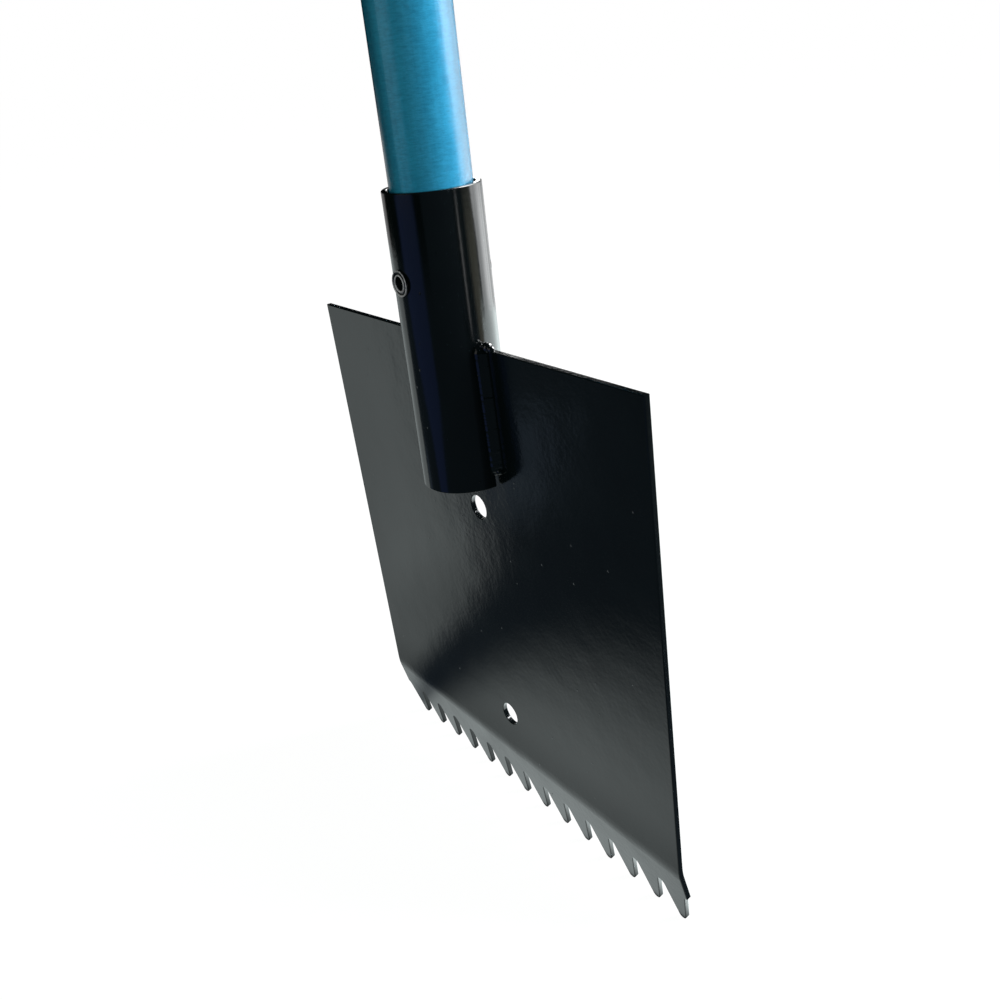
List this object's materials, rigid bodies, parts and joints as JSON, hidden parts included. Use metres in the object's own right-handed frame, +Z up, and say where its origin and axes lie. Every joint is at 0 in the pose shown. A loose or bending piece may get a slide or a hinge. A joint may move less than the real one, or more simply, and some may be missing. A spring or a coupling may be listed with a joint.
{
  "type": "roofing shovel",
  "caption": "Long-handled roofing shovel: a flat toothed steel blade welded into a slotted steel socket, with a round fibreglass handle held by a rivet.",
  "frame": {"origin": "on the blade's flat front face, midway between the two holes on its centreline", "axes": "+Z up towards the handle with the teeth down, X across the blade, -Y out of the blade's front face, +Y towards the back"},
  "size_m": [0.22, 0.0699, 1.4196],
  "materials": {
    "black_coated_steel": "glossy black powder coat with fine orange peel",
    "black_coated_weld": "glossy black powder coat over a rippled weld bead",
    "blue_fibreglass": "semi-gloss pultruded fibreglass in bright blue, with a fine veil texture",
    "plug_wood": "raw hardwood dowel",
    "black_coated_rivet": "glossy black paint over a rolled steel rivet",
    "black_grip": "matt black ribbed grip",
    "black_cap": "satin black moulded plastic"
  },
  "bodies": {
    "root": {"blade": "black_coated_steel", "socket_tube": "black_coated_steel", "weld_top_right": "black_coated_weld", "weld_top_left": "black_coated_weld", "weld_seam_right": "black_coated_weld", "weld_seam_left": "black_coated_weld", "handle": "blue_fibreglass", "handle_plug": "plug_wood", "rivet": "black_coated_rivet", "grip_sleeve": "black_grip", "end_cap": "black_cap"}
  },
  "joints": []
}
